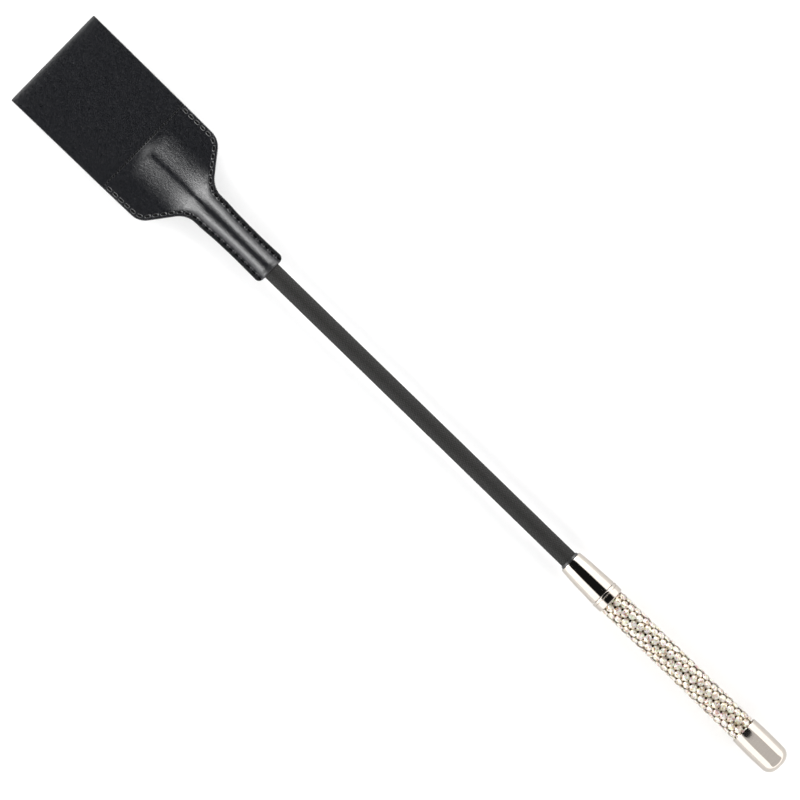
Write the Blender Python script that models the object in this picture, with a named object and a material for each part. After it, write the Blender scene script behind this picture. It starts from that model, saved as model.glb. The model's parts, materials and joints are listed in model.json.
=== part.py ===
"""Riding crop: a wide folded leather flap on a braided shaft, with a crystal-set handle.

Metres, +Z up. The crop lies along X, flap at -X and handle at +X, on the plane z = 0.
The origin is on that plane, below the middle of the crop. Stations along the leather are
measured from the cross seam, where the flap ends and the yoke begins.
"""

import math

import bmesh
import bpy

MM = 0.001
CLEAR = 0.3 * MM  # gap between pieces that touch
LENGTH = 600 * MM

# Leather
LEATHER = 1.4 * MM
LAYER_GAP = 0.4 * MM  # between the two layers where they lie flat
CROSS_SEAM_X = -224.5 * MM
YOKE_START = -1.9 * MM  # the yoke's front edge, before the cross seam
HINGE_STATION = -3.2 * MM  # line where the flap bends
FLAP_ROOT_GAP = 1.3 * MM  # from the bending line to the flap's root edge
FLAP_HALF_WIDTH_TIP = 35.05 * MM
FLAP_HALF_WIDTH_ROOT = 34.5 * MM
FOLD_LENGTH = 9 * MM  # how far the folded tip rounds off
FOLD_HALF_HEIGHT = 2.4 * MM
FOLD_STEPS = 16
YOKE_HALF_WIDTH = 34.2 * MM
SLANT_SLOPE = 1.3  # width lost for each length along the slanted shoulder
SLANT_STATION = 38.7 * MM
SLANT_HALF_WIDTH = 21.8 * MM
SHOULDER_RADIUS = 12 * MM
NECK_RADIUS = 16 * MM
NECK_WAIST = 10.15 * MM
NECK_WAIST_STATION = 84 * MM
NECK_FLARE = 1.25  # per metre: the neck widens as the square of the distance from its waist
NECK_END = 105.6 * MM
NECK_CORNER = 1.5 * MM
MARGIN = 3.1 * MM  # flat border outside the formed part, square to the edge
WIDEST_TENT = 18 * MM
ACROSS = 20  # divisions across a panel

# Seams
THREAD_RADIUS = 0.25 * MM
EDGE_INSET = 2.3 * MM
EDGE_SEAM_START = 3 * MM
EDGE_SEAM_END = 103.4 * MM
EDGE_SEAM_POINTS = 34
CROSS_SEAM_HALF = 33 * MM
CROSS_SEAM_POINTS = 14

# Shaft
ROD_RADIUS = 2.5 * MM
JACKET_RADIUS = 4.8 * MM
BRAID_RADIUS = 5.55 * MM
BOOT_RADIUS = 3.4 * MM
BOOT_START = 4.5 * MM
BOOT_LENGTH = 17 * MM
JACKET_START = 50 * MM
SHAFT_END_X = 132 * MM

# Handle
COLLAR_X = 127.2 * MM
BUSH_OUT = 2 * MM  # how far the bush stands out of the collar
BUSH_RADIUS = 6.6 * MM
BUSH_END_X = 132.3 * MM
COLLAR_LENGTH = 26.7 * MM
COLLAR_BORE = 6.95 * MM
RING_END_X = 160.6 * MM
BEAD_RADIUS = 9.36 * MM
RING_SEAT = 2.6 * MM
BAND_RADIUS = 8.35 * MM
BAND_BORE = 7.5 * MM
BAND_TUCK = 3 * MM  # each end of the band goes this far under its ring or cap
BAND_TUCK_RADIUS = 7.9 * MM
SLEEVE_RADIUS = 7.2 * MM
CORE_RADIUS = 6.4 * MM
CORE_START_X = 132.8 * MM
CORE_END_X = 290 * MM
CAP_X = 269.5 * MM
CAP_RIM_RADIUS = 8.95 * MM
CAP_RADIUS = 9.3 * MM
CAP_END_RADIUS = 9.2 * MM
CAP_CORNER = 4.8 * MM
CAP_BORE = 8.25 * MM
CAP_FLOOR_X = 296.5 * MM
PLUG_START_X = 275 * MM

SEGMENTS = 32
ROD_SEGMENTS = 16
AXIS_HEIGHT = BEAD_RADIUS  # the handle rests on its bead
HINGE_X = CROSS_SEAM_X + HINGE_STATION
LAYER_TOP = LAYER_GAP / 2 + LEATHER  # outer face of a flat layer, from the middle plane

# Colour, roughness and metallic value of each material
FINISHES = {
    "black_leather": ((0.020, 0.021, 0.024), 0.42, 0.0),
    "waxed_thread": ((0.10, 0.10, 0.11), 0.55, 0.0),
    "charcoal_braid": ((0.045, 0.043, 0.041), 0.70, 0.0),
    "glass_fibre": ((0.62, 0.58, 0.42), 0.45, 0.0),
    "black_plastic": ((0.012, 0.012, 0.013), 0.38, 0.0),
    "grey_plastic": ((0.22, 0.22, 0.23), 0.50, 0.0),
    "polished_nickel": ((0.78, 0.73, 0.68), 0.08, 1.0),
    "crystal_stones": ((0.80, 0.77, 0.72), 0.10, 0.0),
}


def clear_scene():
    for old in list(bpy.data.objects):
        bpy.data.objects.remove(old, do_unlink=True)


def make_materials():
    made = {}
    for name, (colour, roughness, metallic) in FINISHES.items():
        material = bpy.data.materials.new(name)
        material.use_nodes = True
        shader = material.node_tree.nodes["Principled BSDF"]
        shader.inputs["Base Color"].default_value = (*colour, 1)
        shader.inputs["Roughness"].default_value = roughness
        shader.inputs["Metallic"].default_value = metallic
        made[name] = material
    return made


def add_object(name, data, material, location=(0, 0, AXIS_HEIGHT)):
    made = bpy.data.objects.new(name, data)
    data.materials.append(material)
    made.location = location
    bpy.context.scene.collection.objects.link(made)
    return made


def finish_mesh(bm, name, sharp_degrees=35):
    """Turns every face outwards, smooths the round ones and returns the mesh."""
    bmesh.ops.recalc_face_normals(bm, faces=bm.faces)
    mesh = bpy.data.meshes.new(name)
    bm.to_mesh(mesh)
    bm.free()
    mesh.shade_smooth()
    mesh.set_sharp_from_angle(angle=math.radians(sharp_degrees))
    return mesh


def turned(name, profile, material, solid=False, segments=SEGMENTS):
    """A piece turned about the shaft's axis from (x, radius) points.

    A solid piece's profile starts and ends on the axis. A ring's profile is a closed loop.
    """
    bm = bmesh.new()
    points = [bm.verts.new((x, 0, -radius)) for x, radius in profile]
    ends = points[1:] if solid else points[1:] + points[:1]
    edges = [bm.edges.new(pair) for pair in zip(points, ends)]
    bmesh.ops.spin(
        bm,
        geom=points + edges,
        cent=(0, 0, 0),
        axis=(1, 0, 0),
        angle=2 * math.pi,
        steps=segments,
        use_merge=True,
    )
    bmesh.ops.remove_doubles(bm, verts=bm.verts, dist=1e-7)
    return add_object(name, finish_mesh(bm, name), material)


def corner_arc(x, radius, size, steps):
    """Points of a quarter round that turns from along the axis to square to it."""
    points = []
    for step in range(steps + 1):
        angle = math.pi / 2 * (1 - step / steps)
        points.append((x + size * math.cos(angle), radius + size * math.sin(angle)))
    return points


def ease(low, high, value):
    """0 below low, 1 above high and a smooth step between them."""
    share = min(max((value - low) / (high - low), 0), 1)
    return share * share * (3 - 2 * share)


# ---- Leather ----


def neck_half_width(station):
    return NECK_WAIST + NECK_FLARE * (station - NECK_WAIST_STATION) ** 2


def yoke_half_width(station):
    """Half the yoke's width: straight side, round shoulder, slant, round throat, neck."""
    turn = math.atan(SLANT_SLOPE)
    corner = SLANT_STATION - (YOKE_HALF_WIDTH - SLANT_HALF_WIDTH) / SLANT_SLOPE
    tangent = SHOULDER_RADIUS * math.tan(turn / 2)
    shoulder_start = corner - tangent
    shoulder_end = corner + tangent * math.cos(turn)
    throat_width = neck_half_width(SLANT_STATION + NECK_RADIUS / 2)
    throat = SLANT_STATION + (SLANT_HALF_WIDTH - throat_width) / SLANT_SLOPE
    throat_tangent = NECK_RADIUS * math.tan(turn / 2)
    throat_start = throat - throat_tangent * math.cos(turn)
    throat_end = throat + throat_tangent
    if station <= 0:
        return FLAP_HALF_WIDTH_ROOT
    side = FLAP_HALF_WIDTH_ROOT + (YOKE_HALF_WIDTH - FLAP_HALF_WIDTH_ROOT) * min(
        station / shoulder_start, 1
    )
    if station <= shoulder_start:
        return side
    if station <= shoulder_end:
        return side - SHOULDER_RADIUS + round_off(SHOULDER_RADIUS, station - shoulder_start)
    if station <= throat_start:
        return SLANT_HALF_WIDTH - SLANT_SLOPE * (station - SLANT_STATION)
    if station <= throat_end:
        return throat_width + NECK_RADIUS - round_off(NECK_RADIUS, throat_end - station)
    blend = ease(throat_end, throat_end + NECK_RADIUS, station)
    neck = throat_width + (neck_half_width(station) - throat_width) * blend
    past_corner = station - (NECK_END - NECK_CORNER)
    if past_corner > 0:
        neck += round_off(NECK_CORNER, past_corner) - NECK_CORNER
    return neck


def round_off(radius, along):
    """Height of a circle of that radius at this distance from its middle."""
    return math.sqrt(max(radius**2 - along**2, 0))


def edge_slope(station):
    step = 0.1 * MM
    return (yoke_half_width(station + step) - yoke_half_width(station - step)) / (2 * step)


def inner_crest(station):
    """Height of the panel's inner face over the shaft, from the middle plane."""
    flat = LAYER_GAP / 2
    over_boot = BOOT_RADIUS + 1.3 * CLEAR
    over_braid = BRAID_RADIUS + 1.3 * CLEAR
    rise = ease(0.8 * MM, BOOT_START + 1.2 * MM, station)
    swell = ease(26 * MM, JACKET_START - 4 * MM, station)
    return flat + (over_boot - flat) * rise + (over_braid - over_boot) * swell


def panel_shape(station, across, spread):
    """Share of the crest's height at this distance from the middle, 1 on it, 0 at the border."""
    border = MARGIN * math.hypot(1, edge_slope(min(station, NECK_END - 2 * NECK_CORNER)))
    half = min(yoke_half_width(min(station, NECK_END - 2 * NECK_CORNER)) - border, WIDEST_TENT)
    part = min(abs(across) / (half + spread), 1)
    tube = (1 - part * part) ** 0.65
    rounded = math.hypot(part, 0.06) - 0.06
    tent = (1 - min(rounded / (math.hypot(1, 0.06) - 0.06), 1)) ** 1.7
    share = ease(26 * MM, JACKET_START - 4 * MM, station)
    return tent + (tube - tent) * share


def inner_face(station, across):
    flat = LAYER_GAP / 2
    shape = panel_shape(station, across, -0.9 * MM)
    return flat + (inner_crest(station) - flat) * shape


def outer_face(station, across):
    flat = LAYER_TOP
    shape = panel_shape(station, across, 0)
    return flat + (inner_crest(station) + LEATHER - flat) * shape


def panel_stations():
    """Stations of the panel's cross-sections, closer together where the outline turns."""
    stations = [YOKE_START, 0.8 * MM]
    stations += [k * MM for k in (2, 3.2, 4.5, 6, 10, 16, 22)]
    stations += [(24 + 2 * k) * MM for k in range(16)]
    stations += [k * MM for k in (60, 70, 82, 94)]
    stations += [NECK_END - NECK_CORNER * (1 - math.sin(math.pi / 2 * k / 3)) for k in range(4)]
    return stations


def yoke_panel(name, side, material):
    """One formed panel: its inner and outer faces as grids, closed round the rim."""
    bm = bmesh.new()
    inner, outer = [], []
    for station in panel_stations():
        half = yoke_half_width(station)
        spots = [half * (2 * k / ACROSS - 1) for k in range(ACROSS + 1)]
        x = CROSS_SEAM_X + station
        inner.append([bm.verts.new((x, y, side * inner_face(station, y))) for y in spots])
        outer.append([bm.verts.new((x, y, side * outer_face(station, y))) for y in spots])
    for grid in (inner, outer):
        for near, far in zip(grid, grid[1:]):
            for k in range(ACROSS):
                bm.faces.new((near[k], near[k + 1], far[k + 1], far[k]))
    for row in (0, -1):
        for k in range(ACROSS):
            bm.faces.new((inner[row][k], inner[row][k + 1], outer[row][k + 1], outer[row][k]))
    for column in (0, -1):
        for row in range(len(inner) - 1):
            near, far = inner[row][column], inner[row + 1][column]
            bm.faces.new((near, far, outer[row + 1][column], outer[row][column]))
    return add_object(name, finish_mesh(bm, name), material)


def flap_reach_and_droop():
    """Distance from the bending line to the middle of the fold, and the flap's droop.

    The droop puts the fold on the surface that the crop lies on, and the reach makes the
    whole crop as long as it should be.
    """
    droop = 0.0
    reach = 0.0
    for _ in range(12):
        ahead = math.hypot(FOLD_LENGTH * math.cos(droop), FOLD_HALF_HEIGHT * math.sin(droop))
        below = math.hypot(FOLD_LENGTH * math.sin(droop), FOLD_HALF_HEIGHT * math.cos(droop))
        reach = (HINGE_X + LENGTH / 2 - ahead) / math.cos(droop)
        droop = math.asin((AXIS_HEIGHT - below) / reach)
    return reach, droop


def flap_loop(material):
    """The folded flap, hung from its bending line: a U of leather seen from the side."""
    reach, droop = flap_reach_and_droop()
    fold_gap = FOLD_HALF_HEIGHT - LEATHER
    profile = [(FLAP_ROOT_GAP, LAYER_TOP)]
    for step in range(FOLD_STEPS + 1):
        angle = math.pi * (0.5 - step / FOLD_STEPS)
        along = reach + FOLD_LENGTH * math.cos(angle)
        profile.append((along, FOLD_HALF_HEIGHT * math.sin(angle)))
    profile += [(FLAP_ROOT_GAP, -LAYER_TOP), (FLAP_ROOT_GAP, -LAYER_GAP / 2)]
    for step in range(FOLD_STEPS + 1):
        angle = math.pi * (step / FOLD_STEPS - 0.5)
        along = reach + (FOLD_LENGTH - LEATHER) * math.cos(angle)
        profile.append((along, fold_gap * math.sin(angle)))
    profile.append((FLAP_ROOT_GAP, LAYER_GAP / 2))
    widening = (FLAP_HALF_WIDTH_TIP - FLAP_HALF_WIDTH_ROOT) / (reach + FOLD_LENGTH)
    bm = bmesh.new()
    rims = []
    for side in (-1, 1):
        rims.append(
            [
                bm.verts.new((-s, side * (FLAP_HALF_WIDTH_ROOT + widening * s), z))
                for s, z in profile
            ]
        )
    left, right = rims
    bm.faces.new(left)
    bm.faces.new(right)
    for k in range(len(profile)):
        j = (k + 1) % len(profile)
        bm.faces.new((left[k], left[j], right[j], right[k]))
    flap = add_object("flap_loop", finish_mesh(bm, "flap_loop"), material)
    flap.location = (HINGE_X, 0, AXIS_HEIGHT)
    flap.rotation_euler = (0, -droop, 0)
    return flap


# ---- Seams ----


def thread(name, route, material):
    """A thread laid along its route, as a round cord with closed ends."""
    curve = bpy.data.curves.new(name, "CURVE")
    curve.dimensions = "3D"
    spline = curve.splines.new("POLY")
    spline.points.add(len(route) - 1)
    for point, place in zip(spline.points, route):
        point.co = (*place, 1)
    curve.bevel_depth = THREAD_RADIUS
    curve.bevel_resolution = 1
    curve.use_fill_caps = True
    return add_object(name, curve, material)


def on_panel(station, across, side):
    """A thread's place on a panel, clear of its outer face."""
    height = outer_face(station, across) + CLEAR + THREAD_RADIUS
    return (CROSS_SEAM_X + station, across, side * height)


def edge_route(hand, side):
    route = []
    for k in range(EDGE_SEAM_POINTS):
        station = EDGE_SEAM_START + (EDGE_SEAM_END - EDGE_SEAM_START) * k / (
            EDGE_SEAM_POINTS - 1
        )
        slope = edge_slope(station)
        inset = EDGE_INSET / math.hypot(1, slope)
        seam_station = station + slope * inset
        across = hand * (yoke_half_width(station) - inset)
        route.append(on_panel(seam_station, across, side))
    return route


def cross_route(side):
    route = []
    for k in range(CROSS_SEAM_POINTS):
        across = CROSS_SEAM_HALF * (2 * k / (CROSS_SEAM_POINTS - 1) - 1)
        route.append(on_panel(0, across, side))
    return route


# ---- Shaft and handle ----


def shaft(materials):
    boot_x = CROSS_SEAM_X + BOOT_START
    boot_end = boot_x + BOOT_LENGTH
    rod_start = boot_x + 2.5 * MM
    turned(
        "rod_core",
        [(rod_start, 0), (rod_start, ROD_RADIUS), (CORE_END_X, ROD_RADIUS), (CORE_END_X, 0)],
        materials["glass_fibre"],
        solid=True,
        segments=ROD_SEGMENTS,
    )
    boot_bore = ROD_RADIUS + CLEAR
    nose = [
        (boot_x + BOOT_RADIUS - size, radius)
        for size, radius in corner_arc(0, 0, BOOT_RADIUS, 4)
    ]
    inside = [(boot_end, boot_bore), (rod_start - CLEAR, boot_bore), (rod_start - CLEAR, 0)]
    turned(
        "rod_boot",
        nose[::-1] + [(boot_end, BOOT_RADIUS)] + inside,
        materials["black_plastic"],
        solid=True,
        segments=ROD_SEGMENTS,
    )
    jacket_x = CROSS_SEAM_X + JACKET_START
    layers = (
        ("rod_jacket", ROD_RADIUS + CLEAR, JACKET_RADIUS, "grey_plastic"),
        ("braid_sleeve", JACKET_RADIUS + CLEAR, BRAID_RADIUS, "charcoal_braid"),
    )
    for name, bore, radius, finish in layers:
        profile = [
            (jacket_x, bore),
            (jacket_x, radius),
            (SHAFT_END_X, radius),
            (SHAFT_END_X, bore),
        ]
        turned(name, profile, materials[finish])


def collar(materials):
    mouth = COLLAR_X - BUSH_OUT
    bush_bore = BRAID_RADIUS + CLEAR
    turned(
        "collar_bush",
        [
            (mouth, bush_bore),
            (mouth, bush_bore + CLEAR),
            (COLLAR_X - CLEAR, BUSH_RADIUS),
            (BUSH_END_X, BUSH_RADIUS),
            (BUSH_END_X, bush_bore),
        ],
        materials["black_plastic"],
    )
    bell = [(0, 7.25), (0.5, 7.55), (4, 7.9), (9, 8.3), (17, 8.6), (22, 8.8), (24.5, 8.97)]
    profile = [(COLLAR_X + x * MM, radius * MM) for x, radius in bell]
    collar_end = COLLAR_X + COLLAR_LENGTH
    profile += [(collar_end, 9.15 * MM), (collar_end, COLLAR_BORE), (COLLAR_X, COLLAR_BORE)]
    turned("collar", profile, materials["polished_nickel"])
    ring_x = collar_end + CLEAR
    groove_x = ring_x + 2.05 * MM
    seat_x = ring_x + RING_SEAT
    turned(
        "collar_ring",
        [
            (ring_x, SLEEVE_RADIUS + CLEAR),
            (ring_x, 9.15 * MM),
            (ring_x + 0.6 * MM, BEAD_RADIUS),
            (groove_x - 0.4 * MM, BEAD_RADIUS),
            (groove_x, 9.0 * MM),
            (groove_x + 0.4 * MM, 9.2 * MM),
            (RING_END_X - 1.6 * MM, 9.0 * MM),
            (RING_END_X - 0.4 * MM, 8.75 * MM),
            (RING_END_X, 8.4 * MM),
            (RING_END_X, BAND_TUCK_RADIUS + CLEAR),
            (seat_x, BAND_TUCK_RADIUS + CLEAR),
            (seat_x, SLEEVE_RADIUS + CLEAR),
        ],
        materials["polished_nickel"],
    )


def grip(materials):
    sleeve_x = COLLAR_X + COLLAR_LENGTH + CLEAR
    sleeve_end = PLUG_START_X - CLEAR
    layers = (
        ("handle_core", CORE_START_X, CORE_END_X, ROD_RADIUS + CLEAR, CORE_RADIUS, "grey_plastic"),
        (
            "handle_sleeve",
            sleeve_x,
            sleeve_end,
            CORE_RADIUS + CLEAR,
            SLEEVE_RADIUS,
            "black_plastic",
        ),
    )
    for name, start, end, bore, radius, finish in layers:
        profile = [(start, bore), (start, radius), (end, radius), (end, bore)]
        turned(name, profile, materials[finish])
    band_start = RING_END_X - BAND_TUCK
    band_end = CAP_X + BAND_TUCK
    turned(
        "crystal_band",
        [
            (band_start, BAND_BORE),
            (band_start, BAND_TUCK_RADIUS),
            (RING_END_X + CLEAR, BAND_TUCK_RADIUS),
            (RING_END_X + 1.5 * MM, BAND_RADIUS),
            (CAP_X - 1.5 * MM, BAND_RADIUS),
            (CAP_X - CLEAR, BAND_TUCK_RADIUS),
            (band_end, BAND_TUCK_RADIUS),
            (band_end, BAND_BORE),
        ],
        materials["crystal_stones"],
    )


def cap(materials):
    plug_bore = CORE_RADIUS + CLEAR
    plug_radius = CAP_BORE - CLEAR
    plug_end = CAP_FLOOR_X - CLEAR
    turned(
        "end_plug",
        [
            (plug_end, 0),
            (plug_end, plug_radius - 2 * MM),
            (plug_end - 2 * MM, plug_radius),
            (PLUG_START_X, plug_radius),
            (PLUG_START_X, plug_bore),
            (CORE_END_X + CLEAR, plug_bore),
            (CORE_END_X + CLEAR, 0),
        ],
        materials["grey_plastic"],
        solid=True,
    )
    end_x = LENGTH / 2
    outside = [(CAP_X, CAP_RIM_RADIUS), (CAP_X + 8 * MM, CAP_RADIUS)]
    outside += corner_arc(end_x - CAP_CORNER, CAP_END_RADIUS - CAP_CORNER, CAP_CORNER, 8)
    inside = [
        (CAP_FLOOR_X, 0),
        (CAP_FLOOR_X, CAP_BORE - 1.8 * MM),
        (CAP_FLOOR_X - 1.8 * MM, CAP_BORE),
        (CAP_X, CAP_BORE),
    ]
    turned(
        "end_cap",
        inside + outside + [(end_x, 0)],
        materials["polished_nickel"],
        solid=True,
    )


def main():
    clear_scene()
    materials = make_materials()
    leather = materials["black_leather"]
    waxed = materials["waxed_thread"]
    flap_loop(leather)
    for face, side in (("front", 1), ("back", -1)):
        yoke_panel(f"yoke_{face}", side, leather)
        thread(f"cross_thread_{face}", cross_route(side), waxed)
        for hand_name, hand in (("left", 1), ("right", -1)):
            thread(f"edge_thread_{hand_name}_{face}", edge_route(hand, side), waxed)
    shaft(materials)
    collar(materials)
    grip(materials)
    cap(materials)


main()
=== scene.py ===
import json
import math
import bmesh
import bpy
import numpy as np
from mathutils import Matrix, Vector, noise


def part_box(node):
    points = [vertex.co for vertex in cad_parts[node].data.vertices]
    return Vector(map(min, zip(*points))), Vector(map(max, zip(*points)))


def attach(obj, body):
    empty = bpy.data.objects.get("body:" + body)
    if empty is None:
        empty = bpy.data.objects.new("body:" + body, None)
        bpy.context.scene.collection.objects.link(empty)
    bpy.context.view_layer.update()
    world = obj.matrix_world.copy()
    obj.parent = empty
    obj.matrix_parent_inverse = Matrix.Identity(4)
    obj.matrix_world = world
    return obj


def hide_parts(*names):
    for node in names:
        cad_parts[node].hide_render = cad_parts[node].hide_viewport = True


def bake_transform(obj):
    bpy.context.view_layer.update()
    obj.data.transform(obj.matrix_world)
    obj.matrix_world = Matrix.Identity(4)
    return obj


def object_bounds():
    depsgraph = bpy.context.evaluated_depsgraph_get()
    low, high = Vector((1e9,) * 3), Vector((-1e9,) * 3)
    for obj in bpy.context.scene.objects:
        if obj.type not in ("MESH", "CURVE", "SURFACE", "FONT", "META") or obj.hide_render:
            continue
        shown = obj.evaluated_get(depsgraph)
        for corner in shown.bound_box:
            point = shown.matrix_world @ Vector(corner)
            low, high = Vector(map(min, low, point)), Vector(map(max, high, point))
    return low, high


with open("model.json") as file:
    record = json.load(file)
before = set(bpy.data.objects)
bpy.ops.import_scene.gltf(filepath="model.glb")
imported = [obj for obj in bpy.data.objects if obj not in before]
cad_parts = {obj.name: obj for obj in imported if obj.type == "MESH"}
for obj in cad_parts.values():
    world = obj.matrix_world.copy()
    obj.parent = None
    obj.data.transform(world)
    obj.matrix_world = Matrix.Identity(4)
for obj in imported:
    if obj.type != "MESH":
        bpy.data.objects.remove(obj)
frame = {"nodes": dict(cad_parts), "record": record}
cadLow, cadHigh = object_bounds()
mm = 0.001
micron = 0.001 * mm
scene = bpy.context.scene
joint = frame["record"]["behaviour"]["joints"][0]
hinge = Vector(joint["pos_m"])
axisHeight = hinge.z
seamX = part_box("yoke_front")[0].x + 1.9 * mm  # cross seam, where the flap meets the yoke


# Camera: straight above, turned so that the crop lies from corner to corner
camera = {"turn": 44.2, "distance": 2.5, "width": 0.472, "right": -9.4 * mm, "up": 6.6 * mm}
turn = math.radians(camera["turn"])
lens = bpy.data.cameras.new("camera")
lens.sensor_width = 36
lens.lens = 36 * camera["distance"] / camera["width"]
lens.clip_end = 50
cameraObject = bpy.data.objects.new("camera", lens)
scene.collection.objects.link(cameraObject)
toRight = Vector((math.cos(turn), math.sin(turn), 0))
toTop = Vector((-math.sin(turn), math.cos(turn), 0))
aim = (cadLow + cadHigh) / 2 + toRight * camera["right"] + toTop * camera["up"]
cameraObject.location = aim + Vector((0, 0, camera["distance"]))
cameraObject.rotation_euler = (0, 0, turn)
scene.camera = cameraObject
scene.view_settings.view_transform = "Standard"


# Node and material helpers

def toLinear(code):
    parts = [int(code[k:k + 2], 16) / 255 for k in (1, 3, 5)]
    return (*[p / 12.92 if p <= 0.04045 else ((p + 0.055) / 1.055) ** 2.4 for p in parts], 1)


def add(tree, kind, inputs=None, **settings):
    made = tree.nodes.new(kind)
    for name, value in settings.items():
        setattr(made, name, value)
    for key, value in (inputs or {}).items():
        if isinstance(value, bpy.types.Node):
            value = value.outputs[0]
        if isinstance(value, bpy.types.NodeSocket):
            tree.links.new(value, made.inputs[key])
        else:
            made.inputs[key].default_value = value
    return made


def startMaterial(name, **constants):
    # gives the material, its tree, its shader and the place in millimetres from the shaft's axis
    material = bpy.data.materials.new(name)
    material.use_nodes = True
    tree = material.node_tree
    shader = tree.nodes["Principled BSDF"]
    for key, value in constants.items():
        shader.inputs[key].default_value = value
    coordinates = add(tree, "ShaderNodeTexCoord")
    place = add(tree, "ShaderNodeMapping", {
        "Vector": coordinates.outputs["Object"],
        "Location": (0, 0, -axisHeight / mm),
        "Scale": (1 / mm, 1 / mm, 1 / mm),
    })
    return material, tree, shader, place.outputs[0]


def shadeWith(tree, shader, dark, light, share, rough, height=None, depth=0.0):
    # colour and roughness follow share from 0 to 1; height makes the relief, depth in metres
    colour = add(tree, "ShaderNodeMix", {0: share, 6: toLinear(dark), 7: toLinear(light)}, data_type="RGBA")
    tree.links.new(colour.outputs[2], shader.inputs["Base Color"])
    roughness = add(tree, "ShaderNodeMapRange", {"Value": share, "To Min": rough[0], "To Max": rough[1]})
    tree.links.new(roughness.outputs[0], shader.inputs["Roughness"])
    if height is not None:
        bump = add(tree, "ShaderNodeBump", {"Height": height, "Distance": depth, "Strength": 1.0})
        tree.links.new(bump.outputs[0], shader.inputs["Normal"])


def leatherFace():
    # polyurethane-coated split leather: black, half gloss, pebble grain of about 0.7 mm with soft creases
    material, tree, shader, place = startMaterial("coatedLeather", **{"Specular IOR Level": 0.62})
    drift = add(tree, "ShaderNodeTexNoise", {"Vector": place, "Scale": 0.35, "Detail": 2.0})
    moved = add(tree, "ShaderNodeVectorMath", {
        0: drift.outputs["Color"], 1: (1.6, 1.6, 1.6)}, operation="MULTIPLY")
    bent = add(tree, "ShaderNodeVectorMath", {0: place, 1: moved}, operation="ADD")
    stretched = add(tree, "ShaderNodeMapping", {
        "Vector": bent, "Scale": (0.5, 1.0, 0.7), "Rotation": (0, 0, 0.12)})
    pebbles = add(tree, "ShaderNodeTexVoronoi", {
        "Vector": stretched, "Scale": 1.5}, feature="DISTANCE_TO_EDGE")
    crease = add(tree, "ShaderNodeMapRange", {"Value": pebbles.outputs["Distance"], "From Max": 0.25})
    wrinkles = add(tree, "ShaderNodeTexNoise", {
        "Vector": stretched, "Scale": 0.9, "Detail": 4.0, "Roughness": 0.65})
    grain = add(tree, "ShaderNodeMath", {0: crease, 1: 0.5}, operation="MULTIPLY")
    height = add(tree, "ShaderNodeMath", {
        0: wrinkles.outputs[0], 1: 2.2, 2: grain}, operation="MULTIPLY_ADD")
    mottle = add(tree, "ShaderNodeTexNoise", {
        "Vector": place, "Scale": 0.7, "Detail": 5.0, "Roughness": 0.75})
    pores = add(tree, "ShaderNodeMapRange", {
        "Value": mottle.outputs[0], "From Min": 0.3, "From Max": 0.7})
    shadeWith(tree, shader, "#020306", "#0d0e12", pores, (0.27, 0.34), height, 60 * micron)
    return material


def leatherEdge():
    # cut edge of split leather under black edge paint: dull and fibrous
    material, tree, shader, place = startMaterial("paintedLeatherEdge")
    fibres = add(tree, "ShaderNodeTexNoise", {
        "Vector": place, "Scale": 3.0, "Detail": 5.0, "Roughness": 0.7})
    height = fibres.outputs[0]
    shadeWith(tree, shader, "#1d1e20", "#4c4c4d", height, (0.75, 0.9), height, 120 * micron)
    return material


def yarn(name, dark, light, rough, sheen, scale, gloss):
    # twisted filament yarn: dull, streaked, pale at the rim from loose fibres
    # filaments are about 0.02 mm, drawn as streaks of 0.2 to 0.3 mm so that they show
    material, tree, shader, place = startMaterial(name, **{
        "Sheen Weight": sheen, "Sheen Roughness": 0.4, "Specular IOR Level": gloss})
    streaks = add(tree, "ShaderNodeTexNoise", {
        "Vector": place, "Scale": scale, "Detail": 4.0, "Roughness": 0.7})
    shadeWith(tree, shader, dark, light, streaks.outputs[0], rough, streaks.outputs[0], 80 * micron)
    return material


def metal(name, dark, light, rough, scale, depth):
    # plated and polished: mirror with faint scratches that run round the axis
    # the scratches are a few microns wide, drawn as wide as 0.6 mm so that they show
    material, tree, shader, place = startMaterial(name, Metallic=1.0)
    drawn = add(tree, "ShaderNodeMapping", {"Vector": place, "Scale": (1.0, 0.08, 0.08)})
    scratches = add(tree, "ShaderNodeTexNoise", {
        "Vector": drawn, "Scale": scale, "Detail": 3.0, "Roughness": 0.6})
    shadeWith(tree, shader, dark, light, scratches.outputs[0], rough, scratches.outputs[0], depth)
    return material


def plastic(name, dark, light, rough, scale, depth):
    # moulded or extruded plastic: even, with a faint texture drawn coarser than real
    material, tree, shader, place = startMaterial(name)
    texture = add(tree, "ShaderNodeTexNoise", {"Vector": place, "Scale": scale, "Detail": 3.0})
    shadeWith(tree, shader, dark, light, texture.outputs[0], rough, texture.outputs[0], depth)
    return material


coatedLeather = leatherFace()
paintedEdge = leatherEdge()
# bonded polyester sewing thread, nearly without gloss; solution-dyed polyester braid, a soft sheen
waxedThread = yarn("waxedThread", "#050506", "#0c0c0d", (0.6, 0.75), 0.02, 6.0, 0.08)
polyesterBraid = yarn("polyesterBraid", "#0a0a09", "#181715", (0.55, 0.7), 0.07, 3.0, 0.3)
# nickel plate on brass, a warm mirror; champagne-plated brass sheet, pale satin; blackened brass, dark brown
polishedNickel = metal("polishedNickel", "#b0a8a0", "#bab3ab", (0.05, 0.1), 1.6, 0.5 * micron)
backingFoil = metal("backingFoil", "#9a8c76", "#b3a590", (0.4, 0.5), 1.2, 2 * micron)
pinBronze = metal("pinBronze", "#392c1f", "#473827", (0.1, 0.18), 1.2, 1 * micron)
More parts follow.
